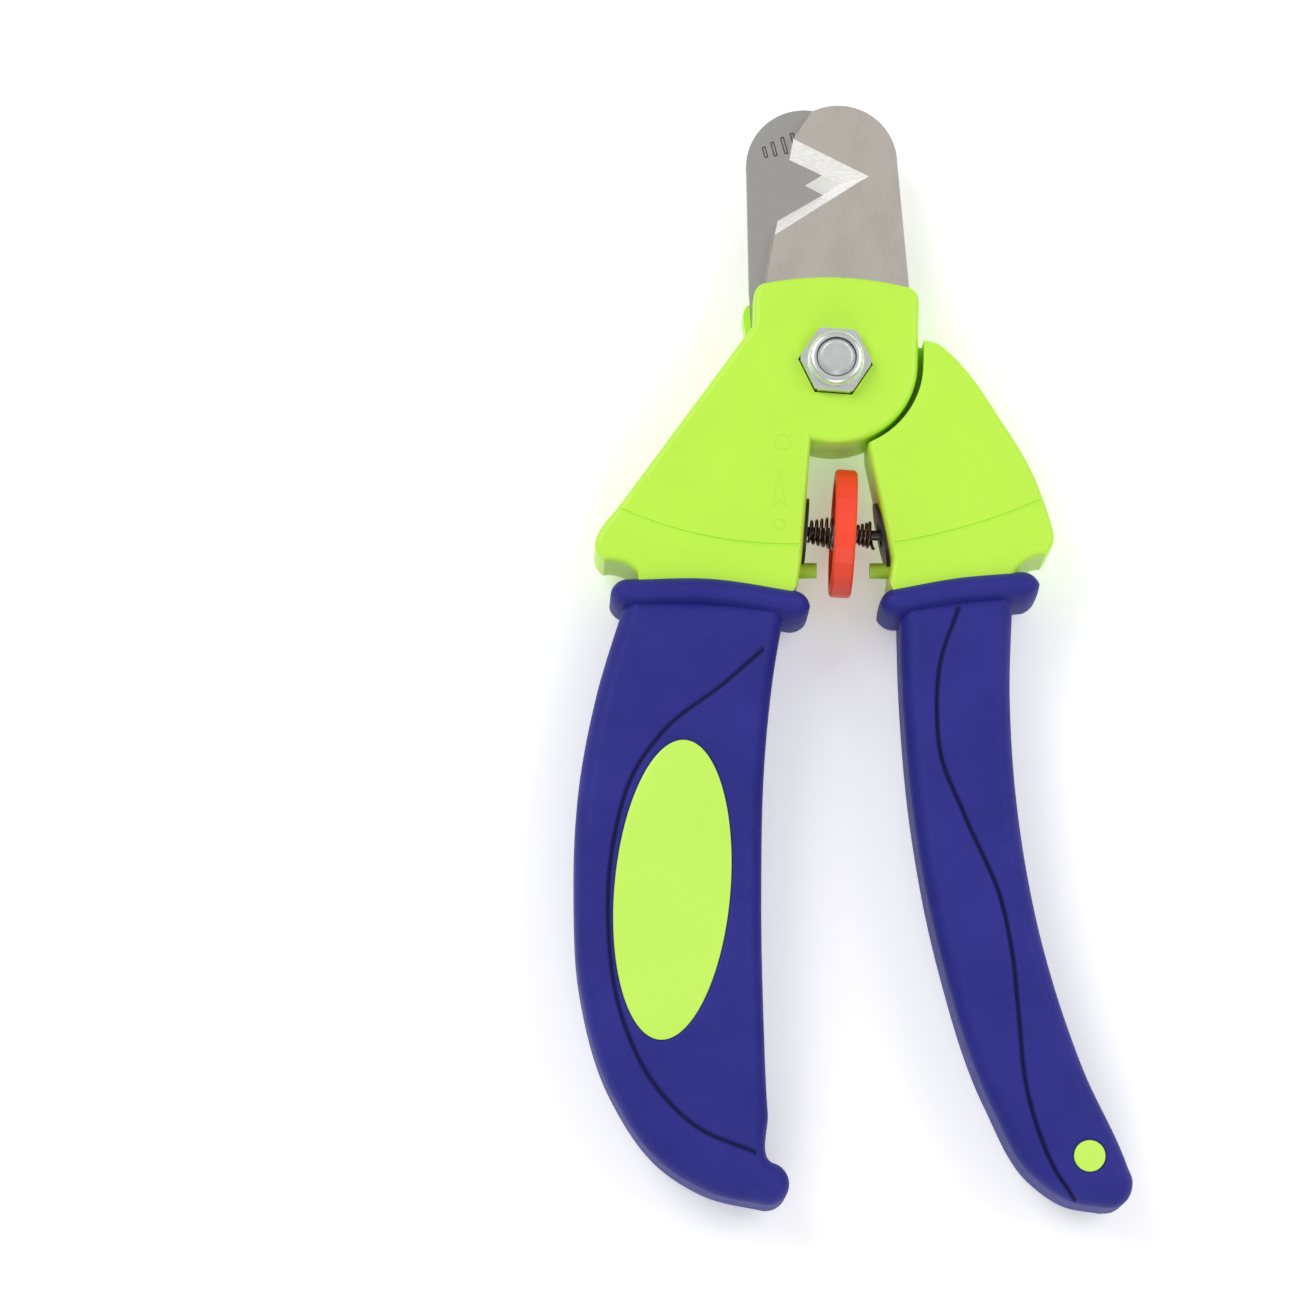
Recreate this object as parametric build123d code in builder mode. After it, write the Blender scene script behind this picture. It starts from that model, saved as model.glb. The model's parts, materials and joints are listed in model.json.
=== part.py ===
"""Scissor nail clipper: two crossed arms on one bolt, with a spring-loaded thumb wheel between them.

The clipper is drawn about its pivot, with the plane where the two blades meet at z = 0, the blades
towards +Y and the left handle at -X. The pieces are moved to the resting frame as they are written.
"""
from build123d import *
from math import atan, cos, degrees, radians, sin, sqrt
import os

# Pivot plates, one half of the thickness each
PLATE_DEPTH = 7.0
MIDDLE_GAP = 0.06
BOSS_RADIUS = 13.1
PLATE_LEFT = -12.8
PLATE_RIGHT = 13.4
PLATE_TOP = 13.9
PLATE_CORNER = 2.2
GROOVE = 0.9
MIRROR_LEAN = 3.0
HEAD_EDGE = 1.0

# Blades
BLADE_THICKNESS = 2.0
BLADE_TIP_RADIUS = 9.5
BLADE_TIP_X = 0.8
BLADE_TIP_Y = 33.5
TANG_RADIUS = 9.0
BLADE_SEAT_CLEARANCE = 0.05

# Pivot hardware: M6 button-head bolt, washer and self-locking nut
BOLT_RADIUS = 3.0
RUNNING_CLEARANCE = 0.05
BOLT_HEAD_RADIUS = 5.25
BOLT_HEAD_HEIGHT = 3.3
SOCKET_ACROSS_FLATS = 4.0
SOCKET_DEPTH = 2.0
BOLT_OVERHANG = 0.4
BOLT_END_CHAMFER = 0.7
BOLT_HEAD_CROWN = 2.2
WASHER_RADIUS = 6.0
WASHER_THICKNESS = 1.6
NUT_ACROSS_FLATS = 10.0
NUT_HEIGHT = 6.0
NUT_HEX_HEIGHT = 4.0
NUT_CROWN_RADIUS = 4.4
NUT_CROWN_ROUND = 0.9
NUT_CORNER_CUT = 0.6
NUT_TURN = -4.0
NUT_LIP = 0.4
NUT_LIP_RADIUS = 3.2
THREAD_FIT = 0.02
INSERT_RING_RADIUS = 3.75
INSERT_RING_HEIGHT = 1.5
POCKET_DEPTH = 2.2
POCKET_CLEARANCE = 0.15
WASHER_POCKET_CLEARANCE = 0.3

# Thumb wheel, its metal bush and the two studs
WHEEL_CENTRE = (1.4, -26.4)
WHEEL_LEAN = 3.0
WHEEL_ACROSS_FLATS = 20.2
WHEEL_FACETS = 24
WHEEL_THICKNESS = 3.4
WHEEL_RIM = 1.6
WHEEL_WEB = 1.2
BUSH_RADIUS = 1.9
WHEEL_CHAMFER = 0.35
STUD_RADIUS = 0.8
STUD_HEAD_RADIUS = 2.3
STUD_HEAD_HEIGHT = 1.5
STUD_GAP = 0.4

# Spring seats, let into the heads
SEAT_RADIUS = 5.3
SEAT_FLANGE = 0.6
SEAT_BODY_RADIUS = 4.4
LEFT_THROAT_RADIUS = 1.5
RIGHT_THROAT_RADIUS = 2.0
SEAT_THROAT_LENGTH = 2.4
SEAT_POCKET_RADIUS = 3.85
SEAT_FIT = 0.02
SEAT_BORE_END = 16.0
SEAT_BODY_END = 15.6
HEAD_FREE_PLAY = 0.1

# Creases across the heads' faces, each as three points of an arc
CREASE_WIDTH = 0.5
CREASE_DEPTH = 0.2
LEFT_CREASE = ((-36.5, -22.8), (-20.5, -28.3), (-4.6, -29.5))
RIGHT_CREASE = ((7.9, -29.4), (20.5, -26.6), (34.5, -21.2))

# Inner walls of the heads, each from its upper to its lower end
LEFT_WALL_ENDS = ((-3.9, -12.5), (-5.4, -31.4))
RIGHT_WALL_ENDS = ((5.2, -14.0), (8.8, -31.6))

# Springs
WIRE_RADIUS = 0.25
SPRING_CLEARANCE = 0.12
LEFT_COIL_SMALL = 1.8
LEFT_COIL_LARGE = 2.6
LEFT_TURNS = 5
RIGHT_COIL_SMALL = 1.4
RIGHT_COIL_LARGE = 2.3
RIGHT_TURNS = 4

# Stop pegs
PEG_Y = -32.4
PEG_RADIUS = 1.25
LEFT_PEG_TIP = -2.8
RIGHT_PEG_TIP = 5.6

# Handles: overmoulded grips round the tangs of the cores
GRIP_DEPTH = 8.0
GRIP_EDGE = 2.0
GRIP_WALL = 3.0
TANG_CORNER = 3.0
COLLAR_DEPTH = 9.0
COLLAR_HEIGHT = 5.5
COLLAR_EDGE = 2.4

# Inlays
BADGE_HALF_WIDTH = 9.1
BADGE_HALF_LENGTH = 23.7
BADGE_LEAN = 4.9
BADGE_CENTRE = (-25.9, -84.0)
DOT_RADIUS = 2.5
DOT_CENTRE = (38.8, -125.9)
INLAY_FIT = 0.03
INLAY_PROUD = 0.1
INLAY_EDGE = 0.3

# Planes worked out from the sizes above
lean = radians(MIRROR_LEAN)
FRONT = Plane.XY
REAR = Plane(
    origin=(0, 0, 0),
    x_dir=(2 * sin(lean) ** 2 - 1, -2 * sin(lean) * cos(lean), 0),
    z_dir=(0, 0, -1),
)
wheel_lean = radians(WHEEL_LEAN)
WHEEL_AXIS = (cos(wheel_lean), -sin(wheel_lean), 0)
WHEEL_PLANE = Plane(origin=(*WHEEL_CENTRE, 0), x_dir=(0, 0, 1), z_dir=WHEEL_AXIS)


def wall_plane(ends, side):
    """Plane of a head's inner wall, centred where the wheel's axis meets it and facing the wheel."""
    high, low = (Vector(*end) for end in ends)
    down = (low - high).normalized()
    normal = Vector(side * down.Y, -side * down.X, 0)
    centre = Vector(*WHEEL_CENTRE)
    axis = Vector(*WHEEL_AXIS)
    reach = (high - centre).dot(normal) / axis.dot(normal)
    return Plane(origin=centre + axis * reach, x_dir=(0, 0, 1), z_dir=normal)


LEFT_WALL = wall_plane(LEFT_WALL_ENDS, -1)
RIGHT_WALL = wall_plane(RIGHT_WALL_ENDS, 1)


# Outlines

with BuildSketch() as plate_outline:
    with BuildLine():
        top = ThreePointArc(
            (PLATE_LEFT, PLATE_TOP - 1.4), (-1.4, PLATE_TOP), (PLATE_RIGHT, PLATE_TOP - 2.1)
        )
        right = Line(top @ 1, (BOSS_RADIUS, 0))
        boss = ThreePointArc(right @ 1, (0, -BOSS_RADIUS), (-BOSS_RADIUS, 0))
        Line(boss @ 1, top @ 0)
    make_face()
    fillet(plate_outline.vertices().sort_by(Axis.Y)[-2:], PLATE_CORNER)

with BuildSketch() as plate_clearance:
    add(plate_outline.sketch)
    offset(amount=GROOVE)

with BuildSketch() as blade_outline:
    with BuildLine():
        tip = ThreePointArc(
            (-3.3, BLADE_TIP_Y + 8.5),
            (BLADE_TIP_X, BLADE_TIP_Y + BLADE_TIP_RADIUS),
            (BLADE_TIP_X + BLADE_TIP_RADIUS, BLADE_TIP_Y),
        )
        Polyline(
            tip @ 1, (12.0, 14.0), (12.2, 8.0), (0, 0), (-11.2, 8.0), (-10.4, 16.0), (-9.0, 23.4),
            (-6.3, 37.5), tip @ 0,
        )
    make_face()
    Circle(TANG_RADIUS)

# The notch is a V that is wider in the outer face than at the cutting edge
with BuildSketch(Plane.XY.offset(MIDDLE_GAP / 2)) as notch_edge:
    with BuildLine():
        Polyline((-16.0, 38.9), (-1.3, 31.8), (1.2, 30.6), (-1.3, 28.9), (-16.0, 20.2), close=True)
    make_face()
with BuildSketch(Plane.XY.offset(MIDDLE_GAP / 2 + BLADE_THICKNESS)) as notch_face:
    with BuildLine():
        Polyline((-16.0, 42.4), (3.5, 32.5), (5.75, 31.4), (3.3, 29.9), (-16.0, 17.4), close=True)
    make_face()

with BuildSketch() as left_head_outline:
    with BuildLine():
        shoulder = Polyline((-5.0, 0), (PLATE_LEFT, 6.2), (-14.9, 3.4), (-34.0, -22.9))
        flank = Spline(
            shoulder @ 1, (-37.3, -27.2), (-38.0, -29.8), (-36.5, -32.2), tangents=((-18, -25), (4, -2))
        )
        scoop = ThreePointArc(flank @ 1, (-33.4, -32.6), (-31.2, -34.6))
        Polyline(
            scoop @ 1, (-31.0, -43.0), (-11.2, -43.0), (-8.0, -38.5), (-6.0, -35.6),
            LEFT_WALL_ENDS[1], LEFT_WALL_ENDS[0], (-5.0, 0),
        )
    make_face()

with BuildSketch() as right_head_outline:
    with BuildLine():
        crown = Polyline((5.0, 0), (5.0, 4.0), (11.0, 4.6), (16.4, 3.2))
        flank = Spline(
            crown @ 1, (21.6, -2.1), (26.0, -8.8), (30.4, -16.1), (33.8, -25.0), (34.4, -28.3), (33.0, -31.0)
        )
        scoop = ThreePointArc(flank @ 1, (31.0, -31.4), (28.8, -33.2))
        Polyline(
            scoop @ 1, (24.8, -39.4), (24.0, -43.0), (12.8, -43.0), (9.4, -38.0), (8.3, -35.0),
            RIGHT_WALL_ENDS[1], RIGHT_WALL_ENDS[0], (5.0, 0),
        )
    make_face()

# Each handle is drawn from the points of its back and its palm, away from the collar.
# The tang inside it follows the same points, a wall's width further in.
LEFT_BACK = ((-33.0, -37.5), (-37.9, -54.0), (-41.2, -80.0), (-40.2, -100.0), (-35.4, -116.0))
LEFT_TOE = ((-27.0, -127.3), (-12.6, -133.1))
LEFT_HOOK = (-7.7, -129.6)
LEFT_PALM = ((-10.3, -126.8), (-11.5, -112.0), (-11.9, -84.0), (-11.2, -62.0), (-7.6, -38.5))
RIGHT_PALM = ((10.0, -38.5), (10.3, -52.0), (12.3, -75.0), (16.4, -96.0), (23.3, -117.0))
RIGHT_TOE = ((30.5, -129.4), (41.3, -133.8))
RIGHT_HEEL = ((45.1, -132.2), (45.6, -129.0))
RIGHT_BACK = ((38.2, -112.2), (32.0, -92.5), (28.4, -72.0), (27.3, -54.0), (27.9, -36.5))


def shifted(points, across):
    """Points of a handle's side, moved across the handle."""
    return [(x + across, y) for x, y in points]


with BuildSketch() as left_grip_outline:
    with BuildLine():
        back = Spline(*LEFT_BACK, *LEFT_TOE, tangents=((-0.35, -1), (1, 0)))
        ThreePointArc(back @ 1, LEFT_HOOK, LEFT_PALM[0])
        palm = Spline(*LEFT_PALM)
        Line(palm @ 1, back @ 0)
    make_face()

with BuildSketch() as left_tang_outline:
    with BuildLine():
        back = Spline(*shifted(LEFT_BACK, GRIP_WALL))
        palm = Spline(*shifted(LEFT_PALM, -GRIP_WALL))
        Line(back @ 0, palm @ 1)
        Line(back @ 1, palm @ 0)
    make_face()
    fillet(left_tang_outline.vertices().sort_by(Axis.Y)[:2], TANG_CORNER)

with BuildSketch() as right_grip_outline:
    with BuildLine():
        palm = Spline(*RIGHT_PALM, *RIGHT_TOE, tangents=((0, -1), (1, 0)))
        heel = ThreePointArc(palm @ 1, *RIGHT_HEEL)
        back = Spline(heel @ 1, *RIGHT_BACK)
        Line(back @ 1, palm @ 0)
    make_face()

with BuildSketch() as right_tang_outline:
    with BuildLine():
        palm = Spline(*shifted(RIGHT_PALM, GRIP_WALL))
        back = Spline(*shifted(RIGHT_BACK, -GRIP_WALL))
        Line(palm @ 0, back @ 1)
        Polyline(
            palm @ 1, (DOT_CENTRE[0] - DOT_RADIUS, DOT_CENTRE[1] - DOT_RADIUS),
            (DOT_CENTRE[0] + DOT_RADIUS, DOT_CENTRE[1] - 1), back @ 0,
        )
    make_face()

TANG_DEPTH = GRIP_DEPTH - GRIP_WALL
HEAD_BOTTOM = -36.0


# Cores: pivot plate, head, tang and stop peg in one moulding

def visible_edges(face):
    """Edges of a head's outer face that stand clear of the collar."""
    return face.edges().filter_by(lambda edge: edge.center().Y > HEAD_BOTTOM)


def half_core(head, own_plane, up):
    """The half of an arm that holds its pivot plate, rounded on its outer face."""
    with BuildPart() as half:
        with BuildSketch():
            add(head.sketch)
        extrude(amount=up * PLATE_DEPTH)
        with BuildSketch(own_plane.offset(MIDDLE_GAP / 2)):
            add(plate_outline.sketch)
        extrude(amount=PLATE_DEPTH - MIDDLE_GAP / 2)
        outer = half.faces().sort_by(Axis.Z)[-1 if up > 0 else 0]
        fillet(visible_edges(outer), HEAD_EDGE)
    return half


def other_half(head, far_plane, up):
    """The half of an arm that goes round the other arm's pivot plate."""
    with BuildPart() as half:
        with BuildSketch():
            add(head.sketch)
        extrude(amount=up * PLATE_DEPTH)
        outer = half.faces().sort_by(Axis.Z)[-1 if up > 0 else 0]
        fillet(visible_edges(outer), HEAD_EDGE)
        with BuildSketch(far_plane):
            add(plate_clearance.sketch)
        extrude(amount=PLATE_DEPTH, mode=Mode.SUBTRACT)
    return half


def core(head, own_plane, far_plane, up, tang, side, peg_tip, pocket, crease):
    """One arm's core. up is 1 for the arm whose plate is in front, side is -1 for the left arm."""
    own_half = half_core(head, own_plane, up)
    round_half = other_half(head, far_plane, -up)
    with BuildPart() as arm:
        add(own_half.part)
        add(round_half.part)
        with BuildSketch():
            add(tang.sketch)
        extrude(amount=TANG_DEPTH, both=True)
        # seat of the blade in the plate's inner face
        with BuildSketch(own_plane):
            add(blade_outline.sketch)
            offset(amount=BLADE_SEAT_CLEARANCE)
        extrude(amount=MIDDLE_GAP / 2 + BLADE_THICKNESS + BLADE_SEAT_CLEARANCE, mode=Mode.SUBTRACT)
        # bolt hole, and the pocket in the outer face
        with BuildSketch(own_plane):
            Circle(BOLT_RADIUS + RUNNING_CLEARANCE)
        extrude(amount=PLATE_DEPTH, mode=Mode.SUBTRACT)
        with BuildSketch(own_plane.offset(PLATE_DEPTH)):
            add(pocket.sketch)
        extrude(amount=-POCKET_DEPTH, mode=Mode.SUBTRACT)
        # stop peg
        with BuildSketch(Plane(origin=(side * SEAT_BORE_END, PEG_Y, 0), z_dir=(-side, 0, 0))):
            Circle(PEG_RADIUS)
        extrude(amount=SEAT_BORE_END - side * peg_tip)
        # bore of the spring seat
        with BuildSketch(WHEEL_PLANE.offset(side * SEAT_BORE_END)):
            Circle(SEAT_BODY_RADIUS)
        extrude(amount=-side * SEAT_BORE_END, mode=Mode.SUBTRACT)
        # creases in the front and rear faces
        for level in (-PLATE_DEPTH, PLATE_DEPTH):
            with BuildSketch(Plane.XY.offset(level)):
                SlotArc(ThreePointArc(*crease), CREASE_WIDTH)
            extrude(amount=CREASE_DEPTH, both=True, mode=Mode.SUBTRACT)
    return arm


with BuildSketch() as nut_pocket:
    RegularPolygon(NUT_ACROSS_FLATS / 2 + POCKET_CLEARANCE, 6, major_radius=False, rotation=NUT_TURN)

with BuildSketch() as washer_pocket:
    Circle(WASHER_RADIUS + WASHER_POCKET_CLEARANCE)

left_core = core(
    left_head_outline, FRONT, REAR, 1, left_tang_outline, -1, LEFT_PEG_TIP, nut_pocket, LEFT_CREASE
)
right_core = core(
    right_head_outline, REAR, FRONT, -1, right_tang_outline, 1, RIGHT_PEG_TIP, washer_pocket, RIGHT_CREASE
)


# Grips: a shell moulded round the tang, with a rounded collar at the head

def grip(outline, collar_line, head, tang, window):
    """One grip with its collar, hollow where the head and the tang are and open over the inlay."""
    with BuildPart() as collar:
        with BuildSketch():
            SlotArc(collar_line, COLLAR_HEIGHT)
        extrude(amount=COLLAR_DEPTH, both=True)
        levels = collar.faces().sort_by(Axis.Z)
        fillet(levels[0].edges() + levels[-1].edges(), COLLAR_EDGE)
    with BuildPart() as shell:
        with BuildSketch():
            add(outline.sketch)
        extrude(amount=GRIP_DEPTH, both=True)
        levels = shell.faces().sort_by(Axis.Z)
        fillet(levels[0].edges() + levels[-1].edges(), GRIP_EDGE)
        add(collar.part)
        with BuildSketch():
            add(tang.sketch)
        extrude(amount=TANG_DEPTH, both=True, mode=Mode.SUBTRACT)
        with BuildSketch():
            add(head.sketch)
        extrude(amount=PLATE_DEPTH, both=True, mode=Mode.SUBTRACT)
        with BuildSketch(Plane.XY.offset(TANG_DEPTH)):
            add(window.sketch)
        extrude(amount=GRIP_DEPTH, mode=Mode.SUBTRACT)
    return shell


def oval(clearance):
    """Outline of the badge, or of its window in the grip, smaller by a clearance."""
    with BuildSketch() as outline:
        with Locations(BADGE_CENTRE):
            Ellipse(BADGE_HALF_WIDTH - clearance, BADGE_HALF_LENGTH - clearance, rotation=-BADGE_LEAN)
    return outline


def dot(clearance):
    """Outline of the dot, or of its window in the grip, smaller by a clearance."""
    with BuildSketch() as outline:
        with Locations(DOT_CENTRE):
            Circle(DOT_RADIUS - clearance)
    return outline


left_collar_line = ThreePointArc((-32.8, -37.3), (-20.0, -37.1), (-6.9, -39.0))
right_collar_line = ThreePointArc((9.7, -38.6), (19.4, -36.8), (29.3, -35.9))
left_grip = grip(left_grip_outline, left_collar_line, left_head_outline, left_tang_outline, oval(0))
right_grip = grip(right_grip_outline, right_collar_line, right_head_outline, right_tang_outline, dot(0))


def inlay(outline):
    """An inlay that fills a grip's window, from the tang to just proud of the grip."""
    with BuildPart() as disc:
        with BuildSketch(Plane.XY.offset(TANG_DEPTH)):
            add(outline.sketch)
        extrude(amount=GRIP_DEPTH - TANG_DEPTH + INLAY_PROUD)
        fillet(disc.faces().sort_by(Axis.Z)[-1].edges(), INLAY_EDGE)
    return disc


oval_badge = inlay(oval(INLAY_FIT))
grip_dot = inlay(dot(INLAY_FIT))


# Blades: one shape, used twice, turned over for the rear

def blade(plane):
    """A blade on its arm's plane, with its ground notch and its bolt hole."""
    with BuildPart() as notch:
        add(notch_edge.sketch)
        add(notch_face.sketch)
        loft()
    with BuildPart() as plate:
        with BuildSketch(Plane.XY.offset(MIDDLE_GAP / 2)):
            add(blade_outline.sketch)
            Circle(BOLT_RADIUS + RUNNING_CLEARANCE, mode=Mode.SUBTRACT)
        extrude(amount=BLADE_THICKNESS)
        add(notch.part, mode=Mode.SUBTRACT)
    with BuildPart() as placed:
        with Locations(plane.location):
            add(plate.part)
    return placed


front_blade = blade(FRONT)
rear_blade = blade(REAR)


# Pivot hardware

NUT_FLOOR = PLATE_DEPTH - POCKET_DEPTH
WASHER_TOP = -(PLATE_DEPTH - POCKET_DEPTH + RUNNING_CLEARANCE)
BOLT_HEAD_TOP = WASHER_TOP - WASHER_THICKNESS

with BuildPart() as pivot_washer:
    with BuildSketch(Plane.XY.offset(WASHER_TOP)):
        Circle(WASHER_RADIUS)
        Circle(BOLT_RADIUS + RUNNING_CLEARANCE, mode=Mode.SUBTRACT)
    extrude(amount=-WASHER_THICKNESS)

with BuildPart() as pivot_bolt:
    with BuildSketch(Plane.XY.offset(BOLT_HEAD_TOP)):
        Circle(BOLT_RADIUS)
    extrude(amount=NUT_FLOOR + NUT_HEIGHT + BOLT_OVERHANG - BOLT_HEAD_TOP)
    chamfer(pivot_bolt.edges().sort_by(Axis.Z)[-1], BOLT_END_CHAMFER)
    with BuildSketch(Plane.XY.offset(BOLT_HEAD_TOP)):
        Circle(BOLT_HEAD_RADIUS)
    extrude(amount=-BOLT_HEAD_HEIGHT)
    fillet(pivot_bolt.edges().sort_by(Axis.Z)[0], BOLT_HEAD_CROWN)
    with BuildSketch(Plane.XY.offset(BOLT_HEAD_TOP - BOLT_HEAD_HEIGHT)):
        RegularPolygon(SOCKET_ACROSS_FLATS / 2, 6, major_radius=False)
    extrude(amount=SOCKET_DEPTH, mode=Mode.SUBTRACT)

with BuildPart() as lock_nut:
    with BuildSketch(Plane.XY.offset(NUT_FLOOR)):
        RegularPolygon(NUT_ACROSS_FLATS / 2, 6, major_radius=False, rotation=NUT_TURN)
    extrude(amount=NUT_HEX_HEIGHT)
    with BuildSketch(Plane.XY.offset(NUT_FLOOR)):
        Circle(NUT_ACROSS_FLATS / 2 + NUT_CORNER_CUT)
    extrude(amount=NUT_HEX_HEIGHT, mode=Mode.INTERSECT)
    with BuildSketch(Plane.XY.offset(NUT_FLOOR + NUT_HEX_HEIGHT)):
        Circle(NUT_CROWN_RADIUS)
    extrude(amount=NUT_HEIGHT - NUT_HEX_HEIGHT)
    fillet(lock_nut.edges().sort_by(Axis.Z)[-1], NUT_CROWN_ROUND)
    with BuildSketch(Plane.XY.offset(NUT_FLOOR)):
        Circle(BOLT_RADIUS + THREAD_FIT)
    extrude(amount=NUT_HEIGHT, mode=Mode.SUBTRACT)
    with BuildSketch(Plane.XY.offset(NUT_FLOOR + NUT_HEIGHT - NUT_LIP)):
        Circle(NUT_LIP_RADIUS)
    extrude(amount=NUT_LIP, mode=Mode.SUBTRACT)
    with BuildSketch(Plane.XY.offset(NUT_FLOOR + NUT_HEIGHT - NUT_LIP)):
        Circle(INSERT_RING_RADIUS)
    extrude(amount=-INSERT_RING_HEIGHT, mode=Mode.SUBTRACT)

with BuildPart() as nut_insert:
    with BuildSketch(Plane.XY.offset(NUT_FLOOR + NUT_HEIGHT - NUT_LIP)):
        Circle(INSERT_RING_RADIUS)
        Circle(BOLT_RADIUS + THREAD_FIT, mode=Mode.SUBTRACT)
    extrude(amount=-INSERT_RING_HEIGHT)


# Thumb wheel and its threaded bush

with BuildPart() as adjuster_wheel:
    with BuildSketch(WHEEL_PLANE.offset(-WHEEL_THICKNESS / 2)):
        RegularPolygon(WHEEL_ACROSS_FLATS / 2, WHEEL_FACETS, major_radius=False, rotation=180 / WHEEL_FACETS)
    extrude(amount=WHEEL_THICKNESS)
    sides = adjuster_wheel.faces().sort_by(Axis(WHEEL_PLANE.origin, WHEEL_AXIS))
    chamfer(sides[0].edges() + sides[-1].edges(), WHEEL_CHAMFER)
    for face_side in (-1, 1):
        with BuildSketch(WHEEL_PLANE.offset(face_side * WHEEL_THICKNESS / 2)):
            Circle(WHEEL_ACROSS_FLATS / 2 - WHEEL_RIM)
        extrude(amount=-face_side * (WHEEL_THICKNESS - WHEEL_WEB) / 2, mode=Mode.SUBTRACT)
    with BuildSketch(WHEEL_PLANE):
        Circle(BUSH_RADIUS)
    extrude(amount=WHEEL_THICKNESS, both=True, mode=Mode.SUBTRACT)

with BuildPart() as wheel_bush:
    with BuildSketch(WHEEL_PLANE):
        Circle(BUSH_RADIUS)
        Circle(STUD_RADIUS + RUNNING_CLEARANCE, mode=Mode.SUBTRACT)
    extrude(amount=WHEEL_THICKNESS / 2, both=True)


# Studs, seats and springs, one of each on either side of the wheel

def wall_reach(wall, side):
    """Distance from the wheel's middle to a wall along the wheel's axis."""
    return side * WHEEL_PLANE.to_local_coords(wall.origin).Z


def seat(wall, side, throat):
    """A flanged bush let into a head: the spring bears on it and the stud's head is held in it."""
    shoulder = wall_reach(wall, side) + SEAT_THROAT_LENGTH
    with BuildPart() as bush:
        with BuildSketch(WHEEL_PLANE.offset(side * SEAT_BODY_END)):
            Circle(SEAT_BODY_RADIUS - SEAT_FIT)
        extrude(amount=-side * SEAT_BODY_END)
        split(bisect_by=wall, keep=Keep.BOTTOM)
        with BuildSketch(wall):
            Circle(SEAT_RADIUS)
        extrude(amount=SEAT_FLANGE)
        with BuildSketch(WHEEL_PLANE):
            Circle(throat)
        extrude(amount=side * SEAT_BODY_END, mode=Mode.SUBTRACT)
        with BuildSketch(WHEEL_PLANE.offset(side * shoulder)):
            Circle(SEAT_POCKET_RADIUS)
        extrude(amount=side * SEAT_BODY_END, mode=Mode.SUBTRACT)
    return bush


def stud(wall, side):
    """A headed stud from the wheel's bush through the seat's throat."""
    under_head = wall_reach(wall, side) + SEAT_THROAT_LENGTH + HEAD_FREE_PLAY
    with BuildPart() as pin:
        with BuildSketch(WHEEL_PLANE.offset(side * STUD_GAP / 2)):
            Circle(STUD_RADIUS)
        extrude(amount=side * (under_head - STUD_GAP / 2))
        with BuildSketch(WHEEL_PLANE.offset(side * under_head)):
            Circle(STUD_HEAD_RADIUS)
        extrude(amount=side * STUD_HEAD_HEIGHT)
    return pin


def spring(start, end, start_radius, end_radius, turns):
    """A conical coil of round wire along the wheel's axis, between two distances from its middle."""
    height = end - start
    cone = degrees(atan((end_radius - start_radius) / height))
    with BuildPart() as coil:
        with BuildLine():
            path = Helix(height / turns, height, start_radius, cone_angle=cone)
        with BuildSketch(Plane(origin=path @ 0, z_dir=path % 0)):
            Circle(WIRE_RADIUS)
        sweep(path=path, is_frenet=True)
    with BuildPart() as placed:
        with Locations(WHEEL_PLANE.offset(start).location):
            add(coil.part)
    return placed


left_seat = seat(LEFT_WALL, -1, LEFT_THROAT_RADIUS)
right_seat = seat(RIGHT_WALL, 1, RIGHT_THROAT_RADIUS)
left_stud = stud(LEFT_WALL, -1)
right_stud = stud(RIGHT_WALL, 1)

coil_end = WIRE_RADIUS + SPRING_CLEARANCE
left_spring = spring(
    -wall_reach(LEFT_WALL, -1) + SEAT_FLANGE + coil_end,
    -WHEEL_WEB / 2 - coil_end,
    LEFT_COIL_SMALL, LEFT_COIL_LARGE, LEFT_TURNS,
)
facing = abs(RIGHT_WALL.z_dir.dot(Vector(*WHEEL_AXIS)))
right_slant = (RIGHT_COIL_LARGE + WIRE_RADIUS) * sqrt(1 - facing**2) / facing
right_spring = spring(
    WHEEL_THICKNESS / 2 + coil_end,
    wall_reach(RIGHT_WALL, 1) - SEAT_FLANGE - right_slant - coil_end,
    RIGHT_COIL_SMALL, RIGHT_COIL_LARGE, RIGHT_TURNS,
)


# Resting frame: origin under the middle of the clipper, on the surface it lies on

pieces = {
    "left_core": left_core, "right_core": right_core, "left_grip": left_grip, "right_grip": right_grip,
    "oval_badge": oval_badge, "grip_dot": grip_dot, "front_blade": front_blade, "rear_blade": rear_blade,
    "pivot_bolt": pivot_bolt, "pivot_washer": pivot_washer, "lock_nut": lock_nut, "nut_insert": nut_insert,
    "adjuster_wheel": adjuster_wheel, "wheel_bush": wheel_bush, "left_stud": left_stud,
    "right_stud": right_stud, "left_seat": left_seat, "right_seat": right_seat,
    "left_spring": left_spring, "right_spring": right_spring,
}
box = Compound([piece.part for piece in pieces.values()]).bounding_box()
rest = Location((-box.center().X, -box.center().Y, -box.min.Z))

os.makedirs("parts", exist_ok=True)
for name, piece in pieces.items():
    placed = piece.part.moved(rest)
    placed.label = name
    export_step(placed, f"parts/{name}.step")

print("pivot at", rest.position)
print("size", box.size)
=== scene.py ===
"""Looks of the scissor nail clipper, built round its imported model.

Shapes are written in millimetres about the pivot, with the plane where the blades meet at z = 0,
the blades towards +Y and the left handle at -X. A Place turns them into metres in the resting frame.
"""

import json
import logging
from dataclasses import dataclass, field
from enum import Enum
from typing import Any, Iterable, Optional, Sequence, Union

import bmesh
import bpy
import numpy as np
from mathutils import Matrix, Vector


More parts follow.
